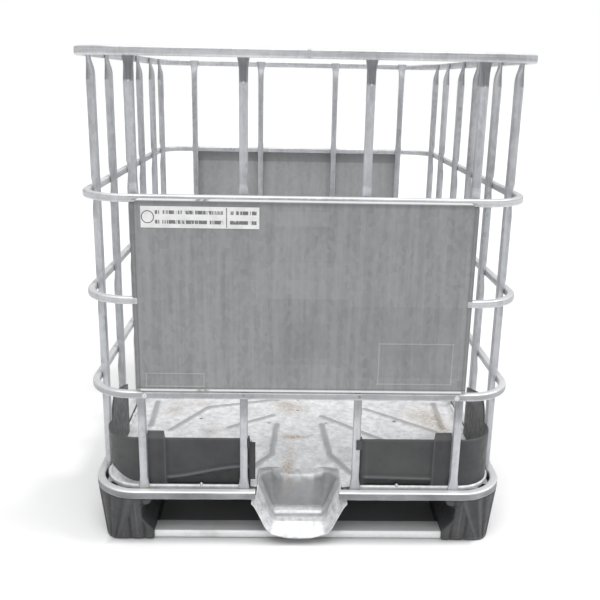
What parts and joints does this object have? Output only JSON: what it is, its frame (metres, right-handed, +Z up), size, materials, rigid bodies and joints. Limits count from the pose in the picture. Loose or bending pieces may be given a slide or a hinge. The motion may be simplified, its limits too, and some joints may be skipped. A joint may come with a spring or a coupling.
{
  "type": "intermediate bulk container",
  "caption": "Galvanised tube cage on a pressed steel pallet with black plastic feet and corner guards, open at the top, with a front plate and a discharge trough.",
  "frame": {"origin": "centre of the base on the floor, halfway between the outer faces of the cage rings", "axes": "+Z up, +Y from the discharge side (front) to the rear along the 1200 mm side, +X to the right along the 1000 mm side"},
  "size_m": [1, 1.2, 1.155],
  "materials": {
    "galvanised_tube": "galvanised, satin, faint spangle",
    "plate_sheet": "galvanised sheet, dull and weathered",
    "label": "white printed film",
    "fastener": "zinc plated",
    "deck_sheet": "bright galvanised sheet with rust stains",
    "skid_steel": "galvanised, scuffed",
    "foot_plastic": "black moulded plastic, scuffed",
    "guard_plastic": "black moulded plastic, satin"
  },
  "bodies": {
    "cage_and_pallet": {"top_ring": "galvanised_tube", "upper_ring": "galvanised_tube", "middle_ring": "galvanised_tube", "lower_ring": "galvanised_tube", "base_ring": "galvanised_tube", "front_upright_1": "galvanised_tube", "front_upright_2": "galvanised_tube", "front_upright_3": "galvanised_tube", "front_upright_4": "galvanised_tube", "rear_upright_1": "galvanised_tube", "rear_upright_2": "galvanised_tube", "rear_upright_3": "galvanised_tube", "rear_upright_4": "galvanised_tube", "left_upright_1": "galvanised_tube", "left_upright_2": "galvanised_tube", "left_upright_3": "galvanised_tube", "left_upright_4": "galvanised_tube", "left_upright_5": "galvanised_tube", "left_upright_6": "galvanised_tube", "right_upright_1": "galvanised_tube", "right_upright_2": "galvanised_tube", "right_upright_3": "galvanised_tube", "right_upright_4": "galvanised_tube", "right_upright_5": "galvanised_tube", "right_upright_6": "galvanised_tube", "front_plate": "plate_sheet", "rear_plate": "plate_sheet", "front_label": "label", "front_plate_screw_left": "fastener", "front_plate_screw_right": "fastener", "deck_bolt_front_left": "fastener", "deck_bolt_front_right": "fastener", "deck_bolt_rear_left": "fastener", "deck_bolt_rear_right": "fastener", "deck_bolt_left_front": "fastener", "deck_bolt_left_rear": "fastener", "deck_bolt_right_front": "fastener", "deck_bolt_right_rear": "fastener", "deck_pan": "deck_sheet", "discharge_trough": "deck_sheet", "skid_frame": "skid_steel", "foot_front_left": "foot_plastic", "foot_front_right": "foot_plastic", "foot_rear_left": "foot_plastic", "foot_rear_right": "foot_plastic", "foot_left_middle": "foot_plastic", "foot_right_middle": "foot_plastic", "foot_rear_middle": "foot_plastic"},
    "guard_front_left_body": {"guard_front_left": "guard_plastic"},
    "guard_front_right_body": {"guard_front_right": "guard_plastic"},
    "guard_rear_left_body": {"guard_rear_left": "guard_plastic"},
    "guard_rear_right_body": {"guard_rear_right": "guard_plastic"}
  },
  "joints": [
    {"name": "guard_front_left_slide", "type": "slide", "parent": "cage_and_pallet", "child": "guard_front_left_body", "axis": [0, 0, 1], "range_m": [0, 0.1]},
    {"name": "guard_front_right_slide", "type": "slide", "parent": "cage_and_pallet", "child": "guard_front_right_body", "axis": [0, 0, 1], "range_m": [0, 0.1]},
    {"name": "guard_rear_left_slide", "type": "slide", "parent": "cage_and_pallet", "child": "guard_rear_left_body", "axis": [0, 0, 1], "range_m": [0, 0.1]},
    {"name": "guard_rear_right_slide", "type": "slide", "parent": "cage_and_pallet", "child": "guard_rear_right_body", "axis": [0, 0, 1], "range_m": [0, 0.1]}
  ]
}
